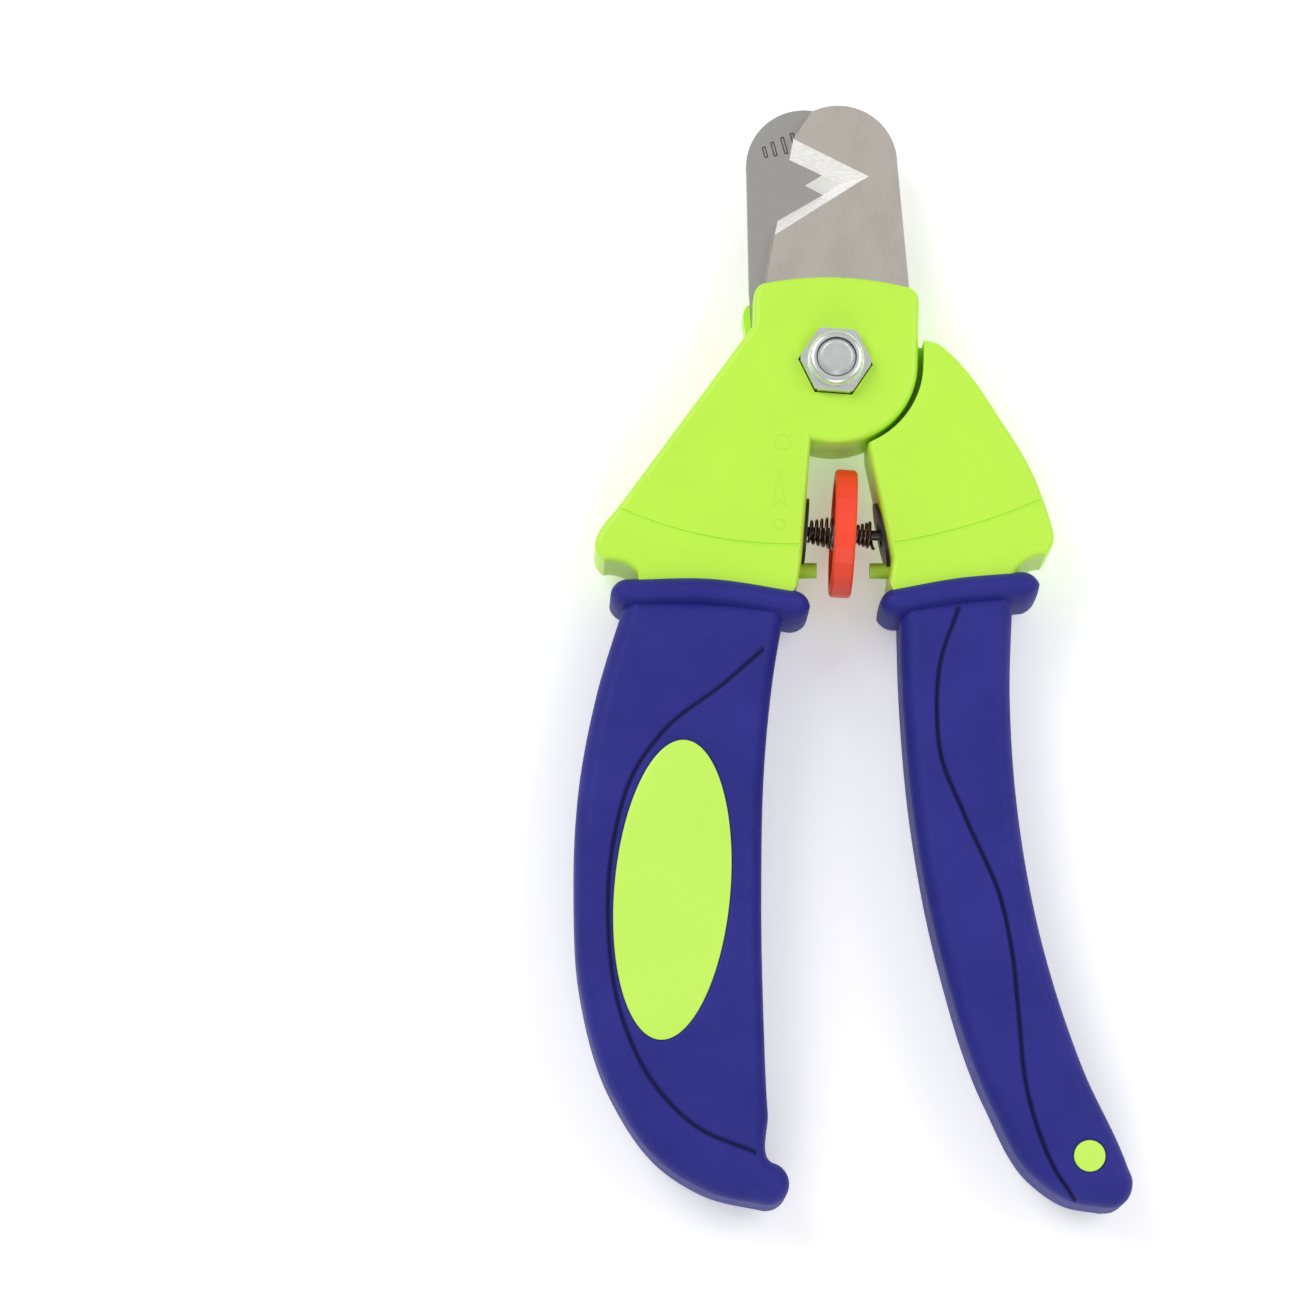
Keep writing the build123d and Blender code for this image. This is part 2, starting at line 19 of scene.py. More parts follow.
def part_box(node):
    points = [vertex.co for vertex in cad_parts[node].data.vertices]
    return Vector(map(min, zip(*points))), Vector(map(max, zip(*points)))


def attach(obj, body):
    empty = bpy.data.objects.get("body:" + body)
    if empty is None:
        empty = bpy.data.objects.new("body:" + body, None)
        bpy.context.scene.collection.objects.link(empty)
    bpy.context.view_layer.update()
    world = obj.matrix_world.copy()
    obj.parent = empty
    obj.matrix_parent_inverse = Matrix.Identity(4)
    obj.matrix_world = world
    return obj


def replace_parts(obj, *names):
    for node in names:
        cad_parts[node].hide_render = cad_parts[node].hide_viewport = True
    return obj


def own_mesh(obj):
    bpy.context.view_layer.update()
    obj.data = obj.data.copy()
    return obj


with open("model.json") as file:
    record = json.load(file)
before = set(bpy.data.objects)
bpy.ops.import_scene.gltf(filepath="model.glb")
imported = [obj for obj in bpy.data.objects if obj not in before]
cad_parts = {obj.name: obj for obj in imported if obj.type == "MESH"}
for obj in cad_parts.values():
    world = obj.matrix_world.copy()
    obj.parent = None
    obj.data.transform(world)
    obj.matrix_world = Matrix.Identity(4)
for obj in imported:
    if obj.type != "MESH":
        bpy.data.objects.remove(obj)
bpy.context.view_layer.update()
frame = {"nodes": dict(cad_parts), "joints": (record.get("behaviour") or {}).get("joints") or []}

log = logging.getLogger("clipper")
Point = tuple[float, float]
Colour = tuple[float, float, float]
Array = np.ndarray
MM = 0.001
GROOVE = "groove"
FINENESS = 8
BLOCK = 2000
SIDE_STEPS = 1000


class Body(str, Enum):
    """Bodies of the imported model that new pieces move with."""

    LEFT = "left_arm"
    RIGHT = "right_arm"
    ADJUSTER = "adjuster"


class Slot(str, Enum):
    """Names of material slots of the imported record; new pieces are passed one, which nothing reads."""

    GREEN = "green_plastic"
    BADGE = "badge_plastic"
    INDIGO = "indigo_grip"
    STUD = "stud_steel"
    SPRING = "spring_steel"


class Grain(Enum):
    """Texture that a moulded surface takes from its mould."""

    SATIN = "satin"
    LEATHER = "leather"


# Shader graph


class Value:
    """A number socket that can be used in Python arithmetic.

    Args:
        shader: The graph that new Math nodes are added to.
        socket: The output socket that holds the number.
    """

    def __init__(self, shader: "Shader", socket: bpy.types.NodeSocket) -> None:
        self.shader = shader
        self.socket = socket

    def math(self, operation: str, *others: Union["Value", float]) -> "Value":
        """Adds a Math node that works on this value first and the others after it.

        Args:
            operation: The Math node's operation.
            others: Values or plain numbers for the node's further inputs.

        Returns:
            The node's result.
        """
        inputs = dict(enumerate((self, *others)))
        return self.shader.value("ShaderNodeMath", inputs, operation=operation)

    def flipped(self, operation: str, other: float) -> "Value":
        """Adds a Math node whose first input is a plain number and whose second is this value."""
        return self.shader.value("ShaderNodeMath", {0: other, 1: self}, operation=operation)

    def __add__(self, other: Union["Value", float]) -> "Value":
        """Sum of two values."""
        return self.math("ADD", other)

    __radd__ = __add__

    def __rsub__(self, other: float) -> "Value":
        """A plain number less this value."""
        return self.flipped("SUBTRACT", other)

    def __mul__(self, other: Union["Value", float]) -> "Value":
        """Product of two values."""
        return self.math("MULTIPLY", other)

    __rmul__ = __mul__

    def __abs__(self) -> "Value":
        """Size of the value without its sign."""
        return self.math("ABSOLUTE")

    def between(self, low: float, high: float) -> "Value":
        """Smooth step from 0 at low to 1 at high."""
        inputs = {"Value": self, "From Min": low, "From Max": high, "To Min": 0.0, "To Max": 1.0}
        return self.shader.value("ShaderNodeMapRange", inputs, interpolation_type="SMOOTHSTEP")


Link = Union[Value, bpy.types.NodeSocket, float, Sequence[float]]


class Shader:
    """A material with one Principled BSDF, and the means to add nodes to it.

    Args:
        name: The material's name.
    """

    def __init__(self, name: str) -> None:
        self.material = bpy.data.materials.new(name)
        self.material.use_nodes = True
        self.tree = self.material.node_tree
        self.tree.nodes.clear()
        self.surface = self.node("ShaderNodeBsdfPrincipled", {})
        self.node("ShaderNodeOutputMaterial", {"Surface": self.surface.outputs[0]})
        self.place = self.node("ShaderNodeTexCoord", {})

    def node(self, kind: str, inputs: dict[Union[str, int], Link], **settings: Any) -> bpy.types.Node:
        """Adds a node, makes its settings and then fills or links its inputs.

        Args:
            kind: The node's Blender type.
            inputs: Values or links by the socket's name or number.
            settings: Properties of the node, such as a Math node's operation.

        Returns:
            The new node.
        """
        made = self.tree.nodes.new(kind)
        for key, value in settings.items():
            setattr(made, key, value)
        for key, value in inputs.items():
            self.feed(made.inputs[key], value)
        return made

    def feed(self, socket: bpy.types.NodeSocket, value: Link) -> None:
        """Links a value to a socket, or sets the socket to a plain number, colour or vector."""
        if isinstance(value, Value):
            self.tree.links.new(value.socket, socket)
        elif isinstance(value, bpy.types.NodeSocket):
            self.tree.links.new(value, socket)
        elif socket.type == "RGBA":
            socket.default_value = (*value, 1.0)
        else:
            socket.default_value = value

    def value(self, kind: str, inputs: dict[Union[str, int], Link], output: Union[str, int] = 0,
              **settings: Any) -> Value:
        """Adds a node and gives one of its outputs as a Value."""
        return Value(self, self.node(kind, inputs, **settings).outputs[output])

    def coordinates(self, stretch: Sequence[float] = (1.0, 1.0, 1.0),
                    turn: float = 0.0) -> bpy.types.NodeSocket:
        """Object coordinates, stretched and turned about Z."""
        inputs = {"Vector": self.place.outputs["Object"], "Rotation": (0.0, 0.0, turn), "Scale": stretch}
        return self.node("ShaderNodeMapping", inputs).outputs[0]

    def noise(self, size: float, detail: float = 2.0, where: Optional[bpy.types.NodeSocket] = None) -> Value:
        """Noise with features of a size in millimetres, from 0 to 1."""
        inputs = {"Vector": where or self.coordinates(), "Scale": 1.0 / (size * MM), "Detail": detail}
        return self.value("ShaderNodeTexNoise", inputs)

    def cells(self, size: float) -> Value:
        """Distance to the nearest of scattered points, that stand a size in millimetres apart."""
        inputs = {"Vector": self.coordinates(), "Scale": 1.0 / (size * MM)}
        return self.value("ShaderNodeTexVoronoi", inputs, output="Distance")

    def mix(self, share: Link, first: Link, second: Link) -> bpy.types.NodeSocket:
        """Colour between two colours."""
        made = self.node("ShaderNodeMix", {}, data_type="RGBA")
        self.feed(made.inputs[0], share)
        self.feed(made.inputs[6], first)
        self.feed(made.inputs[7], second)
        return made.outputs[2]

    def bump(self, height: Value, depth: float) -> bpy.types.NodeSocket:
        """Normal of a relief whose full height is a depth in millimetres."""
        inputs = {"Height": height, "Distance": depth * MM, "Strength": 1.0}
        return self.node("ShaderNodeBump", inputs).outputs[0]

    def finish(self, inputs: dict[str, Link]) -> bpy.types.Material:
        """Feeds the Principled BSDF's inputs and gives the material."""
        for key, value in inputs.items():
            self.feed(self.surface.inputs[key], value)
        return self.material


# Finishes


@dataclass(frozen=True)
class Moulded:
    """A moulded plastic or rubber, with the mould's grain and slightly uneven colour."""

    name: str
    colour: Colour
    shade: Colour
    roughness: float
    grain: Grain
    grain_size: float
    grain_depth: float
    specular: float = 0.5
    drift_size: float = 14.0
    scuff_size: float = 3.5
    # share of the second tone that grooves are darkened to, as painted shade
    groove_shade: float = 0.16

    def material(self) -> bpy.types.Material:
        """Colour drifts between two tones over centimetres; grain and scuffs change the roughness.

        Grooves that a piece marks in its own attribute get painted shade: their colour is darkened, and they
        are duller.
        """
        shader = Shader(self.name)
        drift = shader.noise(self.drift_size, 3.0).between(0.3, 0.7)
        speckle = shader.noise(self.grain_size * 1.6, 1.0)
        tone = drift * 0.7 + speckle.between(0.35, 0.7) * 0.3
        groove = shader.value("ShaderNodeAttribute", {}, output="Fac", attribute_name=GROOVE)
        # painted shade: grooves are darkened towards a dim copy of the second tone, for the shade inside them
        groove_shade_colour = tuple(self.groove_shade * channel for channel in self.shade)
        if self.grain is Grain.LEATHER:
            relief = shader.cells(self.grain_size) * 0.8 + shader.noise(self.grain_size * 0.7, 1.0) * 0.4
        else:
            relief = shader.noise(self.grain_size, 2.0)
        scuff = shader.noise(self.scuff_size, 4.0).between(0.45, 0.75)
        return shader.finish({
            "Base Color": shader.mix(groove, shader.mix(tone, self.colour, self.shade), groove_shade_colour),
            "Roughness": scuff * 0.08 + speckle * 0.06 + groove * 0.2 + (self.roughness - 0.07),
            "Specular IOR Level": self.specular,
            "Normal": shader.bump(relief, self.grain_depth),
        })


@dataclass(frozen=True)
class GroundSteel:
    """Ground stainless steel: fine lines and soft patches on the flats, and freshly ground bevels painted
    near-white and less metallic as a highlight.
    """

    name: str
    colour: Colour
    dark: Colour
    # near-white bevel colour: a painted highlight
    bevel: Colour = (1.0, 0.995, 0.985)
    roughness: float = 0.36
    line_size: float = 0.16
    patch_size: float = 5.0
    grind_size: float = 0.28
    relief_depth: float = 0.004

    def material(self) -> bpy.types.Material:
        """Flats and bevels part by how much the surface leans.

        Fine lines run along the blade on its flats, and across it on its bevels.
        """
        shader = Shader(self.name)
        along = shader.noise(self.line_size, 3.0, shader.coordinates((1.0, 0.12, 1.0)))
        broad = shader.noise(self.patch_size, 3.0, shader.coordinates((1.0, 0.6, 1.0))).between(0.3, 0.7)
        slanting = shader.coordinates((0.12, 1.0, 1.0), 0.5)
        across = shader.noise(self.grind_size, 3.0, slanting).between(0.35, 0.65)
        upright = abs(shader.value("ShaderNodeSeparateXYZ", {0: shader.place.outputs["Normal"]}, output=2))
        ground = upright.between(0.30, 0.45) * (1.0 - upright.between(0.93, 0.985))
        flat = shader.mix(broad * 0.65 + along.between(0.3, 0.7) * 0.35, self.colour, self.dark)
        # painted highlight: bevels take a near-white colour and, below, less metal, so they look bright like
        # a glint; the grind lines across them are real
        bevel_grind_and_highlight = shader.mix(across * 0.4, self.bevel, self.colour)
        relief = along * (1.0 - ground) + across * ground
        return shader.finish({
            "Base Color": shader.mix(ground, flat, bevel_grind_and_highlight),
            "Metallic": 1.0 - ground * 0.8,
            "Roughness": along * 0.12 + broad * 0.06 + (self.roughness - 0.09) + ground * 0.06,
            "Normal": shader.bump(relief, self.relief_depth),
        })


@dataclass(frozen=True)
class Plated:
    """Plated or bare small metal parts, with a faint tint that drifts over them."""

    name: str
    colour: Colour
    tint: Colour
    roughness: float
    patch_size: float = 1.2
    pit_size: float = 0.22
    pit_depth: float = 0.006

    def material(self) -> bpy.types.Material:
        """Two tones of plating in soft patches, with small pits."""
        shader = Shader(self.name)
        patch = shader.noise(self.patch_size, 3.0).between(0.3, 0.7)
        pits = shader.noise(self.pit_size, 2.0)
        return shader.finish({
            "Base Color": shader.mix(patch, self.colour, self.tint),
            "Metallic": 1.0,
            "Roughness": patch * 0.10 + pits * 0.10 + (self.roughness - 0.1),
            "Normal": shader.bump(pits, self.pit_depth),
        })


GREEN = Moulded(
    "green_plastic_satin", (0.545, 0.930, 0.060), (0.505, 0.880, 0.052),
    0.42, Grain.SATIN, 0.30, 0.010,
)
BADGE = Moulded(
    "badge_plastic_satin", (0.590, 0.945, 0.115), (0.555, 0.905, 0.105),
    0.40, Grain.SATIN, 0.30, 0.008,
)
INDIGO = Moulded(
    "indigo_soft_grip", (0.026, 0.027, 0.262), (0.019, 0.020, 0.215),
    0.60, Grain.LEATHER, 0.34, 0.022, 0.2,
)
ORANGE = Moulded(
    "orange_plastic_satin", (0.985, 0.066, 0.018), (0.910, 0.052, 0.014),
    0.48, Grain.SATIN, 0.30, 0.010,
)
BLACK = Moulded(
    "black_plastic_satin", (0.020, 0.020, 0.022), (0.012, 0.012, 0.013),
    0.45, Grain.SATIN, 0.30, 0.010,
)
NYLON = Moulded(
    "nylon_ring", (0.050, 0.055, 0.065), (0.030, 0.034, 0.040),
    0.40, Grain.SATIN, 0.25, 0.008,
)
ETCHED = Moulded(
    "etched_marks", (0.055, 0.052, 0.050), (0.090, 0.085, 0.080),
    0.60, Grain.SATIN, 0.12, 0.004,
)
STEEL = GroundSteel("ground_blade_steel", (0.70, 0.645, 0.58), (0.50, 0.465, 0.425))
# painted shade: the rear blade is a darker copy of the blade steel, for the shade it sits in behind the front
# blade
SHADED_REAR_STEEL = GroundSteel("ground_rear_steel_painted_shade", (0.50, 0.485, 0.46), (0.40, 0.39, 0.375))
ZINC = Plated("bright_zinc", (0.92, 0.94, 0.92), (0.78, 0.82, 0.81), 0.26)
BUSH = Plated("turned_steel", (0.50, 0.49, 0.47), (0.38, 0.37, 0.35), 0.35)
STUD = Plated("dark_stud_steel", (0.13, 0.12, 0.10), (0.07, 0.065, 0.06), 0.45)
WIRE = Plated("dark_spring_wire", (0.24, 0.21, 0.16), (0.10, 0.09, 0.075), 0.30, 0.8)


# Surfaces


@dataclass(frozen=True)
class Place:
    """Turns millimetres about the pivot into metres in the resting frame."""

    pivot: tuple[float, float, float]

    def metres(self, points: Array) -> Array:
        """Moves points from the pivot's millimetres to the resting frame's metres."""
        return points * MM + np.array(self.pivot)

    def millimetres(self, point: Sequence[float]) -> Array:
        """Moves a point from the resting frame's metres to the pivot's millimetres."""
        return (np.array(point) - np.array(self.pivot)) / MM


def joint(name: str) -> dict[str, Any]:
    """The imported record's joint of that name."""
    return next(entry for entry in frame["joints"] if entry["name"] == name)


PLACE = Place(tuple(joint("pivot")["pos_m"]))


def smooth_curve(knots: Sequence[Point], count: int) -> Array:
    """A smooth curve through points, in even steps along its length.

    Each span is a cubic that starts and ends at two neighbouring points, and whose slope at each of
    them is the difference of the points on either side, divided by the distance between those
    (Catmull and Rom's rule). The dense curve is then read at equal steps of its running length.

    Args:
        knots: The points that the curve goes through.
        count: The number of points to give back.

    Returns:
        An array of count points.
    """
    raw = np.asarray(knots, float)
    step = np.linalg.norm(np.diff(raw, axis=0), axis=1)
    at = np.concatenate([[0.0], np.cumsum(step)])
    slope = np.gradient(raw, at, axis=0)
    t = np.linspace(0.0, at[-1], count * FINENESS)
    span = np.clip(np.searchsorted(at, t, side="right") - 1, 0, len(step) - 1)
    width = step[span][:, None]
    s = ((t - at[span]) / step[span])[:, None]
    first, second = raw[span], raw[span + 1]
    rise, fall = slope[span] * width, slope[span + 1] * width
    dense = ((2 * s**3 - 3 * s**2 + 1) * first + (s**3 - 2 * s**2 + s) * rise
             + (3 * s**2 - 2 * s**3) * second + (s**3 - s**2) * fall)
    return evenly(dense, count)


def evenly(path: Array, count: int) -> Array:
    """Reads a path of straight runs at equal steps of its running length."""
    run = np.concatenate([[0.0], np.cumsum(np.linalg.norm(np.diff(path, axis=0), axis=1))])
    want = np.linspace(0.0, run[-1], count)
    return np.stack([np.interp(want, run, path[:, axis]) for axis in range(path.shape[1])], axis=1)


def distance_to(points: Array, path: Array) -> Array:
    """Distance from each point to a path of straight runs.

    The foot on a run a to b is a + t (b - a), where t is the share of the run at which the point
    stands square to it, held between 0 and 1. The nearest run counts.

    Args:
        points: Points of any grid shape, with x and y last.
        path: The path's corners.

    Returns:
        The distances, in the grid's shape.
    """
    flat = points.reshape(-1, 2)
    start, run = path[:-1], np.diff(path, axis=0)
    length = np.maximum((run**2).sum(1), 1e-12)
    nearest = []
    for block in np.array_split(flat, max(1, len(flat) // BLOCK)):
        offset = block[:, None, :] - start[None]
        share = np.clip((offset * run).sum(2) / length, 0.0, 1.0)
        nearest.append(np.sqrt(((offset - share[..., None] * run) ** 2).sum(2)).min(1))
    return np.concatenate(nearest).reshape(points.shape[:-1])


def grid_faces(rows: int, columns: int, closed: bool) -> Array:
    """Corner numbers of the four-sided faces of a grid, whose columns may close on themselves."""
    across = columns if closed else columns - 1
    row, column = np.meshgrid(np.arange(rows - 1), np.arange(across), indexing="ij")
    here, beside = row * columns + column, row * columns + (column + 1) % columns
    return np.stack([here, beside, beside + columns, here + columns], axis=2).reshape(-1, 4)


class Surface:
    """Collects grids of points and makes them into one smooth piece.

    Args:
        name: The piece's name.
    """

    def __init__(self, name: str) -> None:
        self.name = name
        self.points: list[Array] = []
        self.faces: list[Array] = []

    def add(self, grid: Array, closed: bool = False) -> "Surface":
        """Adds a grid of points in millimetres about the pivot, rows first.

        A fourth number at a point, where there is one, says how much of a groove it lies in.
        """
        start = sum(len(block) for block in self.points)
        self.faces.append(grid_faces(grid.shape[0], grid.shape[1], closed) + start)
        plain = np.zeros((*grid.shape[:2], 4 - grid.shape[2]))
        self.points.append(np.concatenate([grid, plain], axis=2).reshape(-1, 4))
        return self

    def piece(self, finish: Union[Moulded, Plated], slot: Slot, body: Body) -> bpy.types.Object:
        """Makes the mesh, closes its seams and poles, points its faces outwards and dresses it.

        Args:
            finish: What the piece is made of.
            slot: Not used.
            body: The body that it moves with.

        Returns:
            The new object, at the origin, with its place in its mesh.
        """
        mesh = bpy.data.meshes.new(self.name)
        points = np.concatenate(self.points)
        mesh.from_pydata(PLACE.metres(points[:, :3]), [], np.concatenate(self.faces))
        groove = mesh.attributes.new(GROOVE, "FLOAT", "POINT")
        groove.data.foreach_set("value", points[:, 3].astype(np.float32))
        work = bmesh.new()
        work.from_mesh(mesh)
        bmesh.ops.remove_doubles(work, verts=work.verts, dist=1e-7)
        bmesh.ops.dissolve_degenerate(work, edges=work.edges, dist=1e-8)
        bmesh.ops.recalc_face_normals(work, faces=work.faces)
        work.to_mesh(mesh)
        work.free()
        mesh.polygons.foreach_set("use_smooth", np.ones(len(mesh.polygons), bool))
        made = bpy.data.objects.new(self.name, mesh)
        bpy.context.scene.collection.objects.link(made)
        made.data.materials.append(finish.material())
        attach(made, body.value)
        log.info("%s: %d faces, rides on %s", self.name, len(mesh.polygons), body.value)
        return made


def dress(node: str, finish: Union[Moulded, Plated, GroundSteel]) -> None:
    """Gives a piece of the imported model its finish."""
    slots = frame["nodes"][node].material_slots
    for entry in slots:
        entry.material = finish.material()
    log.info("%s: dressed as %s", node, finish.name)


# Grips


@dataclass
class Collar:
    """The rounded ring at a grip's upper end, along an arc between two ends."""

    line: tuple[Point, Point, Point]
    half_width: float = 2.75
    depth: float = 9.0
    roundness: float = 2.6
    arc_steps: int = 60
    tip_steps: int = 14
    section_steps: int = 64

    def grid(self) -> Array:
        """A rounded section carried along the collar's arc.

        The section's half width is w sqrt(1 - t^2) and its half height is h - w + w sqrt(1 - t^2),
        where t runs from 0 where the arc stops to 1 at the tip. Round the section, width and height
        follow the cosine and the sine, each raised to the power 2 / roundness.

        Returns:
            Rows along the arc, columns round the section.
        """
        spine = smooth_curve(self.line, self.arc_steps)
        way = np.gradient(spine, axis=0)
        way /= np.linalg.norm(way, axis=1)[:, None]
        tip = np.sin(np.linspace(0.0, np.pi / 2, self.tip_steps))
        ahead = spine[-1] + way[-1] * (tip * self.half_width)[:, None]
        behind = (spine[0] - way[0] * (tip * self.half_width)[:, None])[::-1]
        centre = np.concatenate([behind, spine[1:-1], ahead])
        first, last = (np.repeat(end, self.tip_steps, 0) for end in (way[:1], way[-1:]))
        normal = np.concatenate([first, way[1:-1], last])[:, ::-1] * (-1.0, 1.0)
        past_end = np.concatenate([tip[::-1], np.zeros(self.arc_steps - 2), tip])
        share = np.sqrt(np.maximum(1.0 - past_end**2, 0.0))
        angle = np.linspace(0.0, 2 * np.pi, self.section_steps, endpoint=False)
        power = 2.0 / self.roundness
        wide = np.sign(np.cos(angle)) * np.abs(np.cos(angle)) ** power
        high = np.sign(np.sin(angle)) * np.abs(np.sin(angle)) ** power
        reach = self.half_width * share[:, None] * wide
        rise = (self.depth - self.half_width * (1.0 - share[:, None])) * high
        flat = centre[:, None, :] + normal[:, None, :] * reach[..., None]
        return np.concatenate([flat, rise[..., None]], axis=2)


@dataclass
class Inlay:
    """A green inlay let into a grip's front: an oval, or a round dot where both sizes are equal."""

    name: str
    node: str
    centre: Point
    half_width: float
    half_length: float
    lean: float
    gap: float = 0.05
    proud: float = 0.10
    seam: float = 0.22
    bed_slope: float = 0.2
    bed_depth: float = 0.7
    rim_drop: float = 0.14
    rim_power: int = 60
    skirt_depth: float = 0.6
    floor_depth: float = 0.72
    rings: int = 40
    body: Body = Body.LEFT

    def outline(self, grow: float, count: int = 160) -> Array:
        """The oval's edge, larger all round by a distance, leaning from upright."""
        angle = np.linspace(0.0, 2 * np.pi, count, endpoint=False)
        x = (self.half_width + grow) * np.cos(angle)
        y = (self.half_length + grow) * np.sin(angle)
        lean = np.radians(self.lean)
        turned = np.stack([x * np.cos(lean) + y * np.sin(lean), y * np.cos(lean) - x * np.sin(lean)], axis=1)
        return turned + np.array(self.centre)

    def recess(self, flat: Array) -> Array:
        """Depth of the inlay's bed in the grip.

        Along the oval's edge runs a rounded seam of depth s exp(-(d / s)^2), where d is the distance
        to the edge and s the seam's size. Inside, the bed falls evenly to its full depth.
        """
        ring = self.outline(0.0)
        off_edge = distance_to(flat, np.concatenate([ring, ring[:1]]))
        x, y = np.moveaxis(flat - np.array(self.centre), -1, 0)
        lean = np.radians(self.lean)
        across = (x * np.cos(lean) - y * np.sin(lean)) / self.half_width
        along = (x * np.sin(lean) + y * np.cos(lean)) / self.half_length
        within = across**2 + along**2 < 1.0
        bed = np.clip(off_edge / self.bed_slope, 0.0, 1.0) * self.bed_depth
        return self.seam * np.exp(-((off_edge / self.seam) ** 2)) + np.where(within, bed, 0.0)

    def build(self, face: float) -> bpy.types.Object:
        """A shallow dome over the oval.

        At a share r from the middle to the edge, its height over the grip's face is
        proud (1 - r^2) - drop r^p, and a short skirt at the edge goes down into the grip.

        Args:
            face: Height of the grip's front face.

        Returns:
            The finished inlay.
        """
        edge = self.outline(-self.gap)
        share = np.sin(np.linspace(0.0, np.pi / 2, self.rings))
        top = face + self.proud * (1.0 - share**2) - self.rim_drop * share**self.rim_power
        middle = np.array(self.centre)
        flat = middle + (edge - middle)[None] * share[:, None, None]
        rows = np.concatenate([flat, np.repeat(top[:, None], len(edge), 1)[..., None]], axis=2)
        skirt = rows[-1:] - (0.0, 0.0, self.skirt_depth)
        floor = np.repeat(np.array([[[*middle, face - self.floor_depth]]]), len(edge), 1)
        made = Surface(self.name).add(np.concatenate([rows, skirt, floor]), closed=True)
        piece = made.piece(BADGE, Slot.BADGE, self.body)
        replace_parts(piece, self.node)
        return piece


@dataclass
class Grip:
    """A soft grip with its collar: a shell whose edge is rounded by its distance to the outline."""

    name: str
    node: str
    body: Body
    back: Sequence[Point]
    palm: Sequence[Point]
    groove: Sequence[Point]
    collar: Collar
    inlay: Inlay
    depth: float = 8.0
    edge: float = 2.8
    crown: float = 0.35
    crown_reach: float = 8.0
    groove_width: float = 0.30
    groove_depth: float = 0.45
    rows: int = 300
    front_columns: int = 150
    rear_columns: int = 64
    wall_columns: int = 6
    groove_steps: int = 260
    toe_crowding: float = 1.25
    even_share: float = 0.45
    crowded_share: float = 0.55

    def relief(self, flat: Array, outline: Array, front: bool) -> Array:
        """Height of the grip's face at each place, and how much of a groove is there.

        Within the edge radius R of the outline, at a distance d, it is D - R + sqrt(R^2 - (R - d)^2).
        The face falls towards the edge by crown (1 - d / reach)^2. The groove takes away
        depth exp(-(d / width)^2), where d is the distance to its line, and the inlay its bed.

        Args:
            flat: Places on the face, x and y last.
            outline: The grip's closed outline.
            front: Whether this is the front, which holds the inlay.

        Returns:
            Heights over the middle plane, before the rear is turned over, and the groove's share.
        """
        inside = distance_to(flat, outline)
        rim = np.clip(inside, 0.0, self.edge)
        rise = self.depth - self.edge + np.sqrt(np.maximum(self.edge**2 - (self.edge - rim) ** 2, 0.0))
        rise -= self.crown * np.clip(1.0 - inside / self.crown_reach, 0.0, 1.0) ** 2
        line = smooth_curve(self.groove, self.groove_steps)
        groove = np.exp(-((distance_to(flat, line) / self.groove_width) ** 2))
        rise -= self.groove_depth * groove
        if front:
            rise -= self.inlay.recess(flat)
        return np.stack([rise, groove], axis=-1)

    def shell(self) -> Array:
        """The grip's shell as one grid of closed loops, from inside the collar to the toe.

        A loop goes over the front from the palm to the back, down the wall, over the rear and up the
        other wall. Palm and back are read at equal shares of their lengths, and meet at the toe.

        Returns:
            Rows along the handle, columns round it.
        """
        share = 1.0 - (1.0 - np.linspace(0.0, 1.0, self.rows)) ** self.toe_crowding
        index = share * (SIDE_STEPS - 1)
        back, palm = (
            np.stack([np.interp(index, np.arange(SIDE_STEPS), curve[:, axis]) for axis in (0, 1)], axis=1)
            for curve in (smooth_curve(self.back, SIDE_STEPS), smooth_curve(self.palm, SIDE_STEPS))
        )
        outline = np.concatenate([back, palm[::-1], back[:1]])

        def face(columns: int, front: bool) -> Array:
            """One face of the grip, its columns closer together near the edges."""
            even = np.linspace(0.0, 1.0, columns)
            across = self.even_share * even + self.crowded_share * (1.0 - np.cos(np.pi * even)) / 2
            flat = palm[:, None, :] + (back - palm)[:, None, :] * across[None, :, None]
            return np.concatenate([flat, self.relief(flat, outline, front)], axis=2)

        top, under = face(self.front_columns, True), face(self.rear_columns, False) * (1.0, 1.0, -1.0, 1.0)
        under = under[:, ::-1]
        fall = np.linspace(0.0, 1.0, self.wall_columns)[1:-1][None, :, None]
        down = top[:, -1:] + (under[:, :1] - top[:, -1:]) * fall
        up = under[:, -1:] + (top[:, :1] - under[:, -1:]) * fall
        loops = np.concatenate([top, down, under, up], axis=1)
        cap = np.repeat(loops[:1].mean(axis=1, keepdims=True), loops.shape[1], 1)
        return np.concatenate([cap, loops])

    def build(self) -> None:
        """Makes the grip with its collar, and the inlay in its front."""
        collar = self.collar.grid()
        surface = Surface(self.name).add(self.shell(), closed=True).add(collar, closed=True)
        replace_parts(surface.piece(INDIGO, Slot.INDIGO, self.body), self.node)
        self.inlay.build(self.depth)


def hook_arc(start: Point, middle: Point, end: Point, count: int) -> list[Point]:
    """Points on the circle through three points, from the first to the last."""
    (ax, ay), (bx, by), (cx, cy) = start, middle, end
    scale = 2 * (ax * (by - cy) + bx * (cy - ay) + cx * (ay - by))
    a, b, c = ax**2 + ay**2, bx**2 + by**2, cx**2 + cy**2
    x = (a * (by - cy) + b * (cy - ay) + c * (ay - by)) / scale
    y = (a * (cx - bx) + b * (ax - cx) + c * (bx - ax)) / scale
    angles = np.unwrap(np.arctan2([ay - y, by - y, cy - y], [ax - x, bx - x, cx - x]))
    swing = np.linspace(angles[0], angles[2], count)
    radius = np.hypot(ax - x, ay - y)
    return [(float(x + radius * np.cos(t)), float(y + radius * np.sin(t))) for t in swing]


# Springs


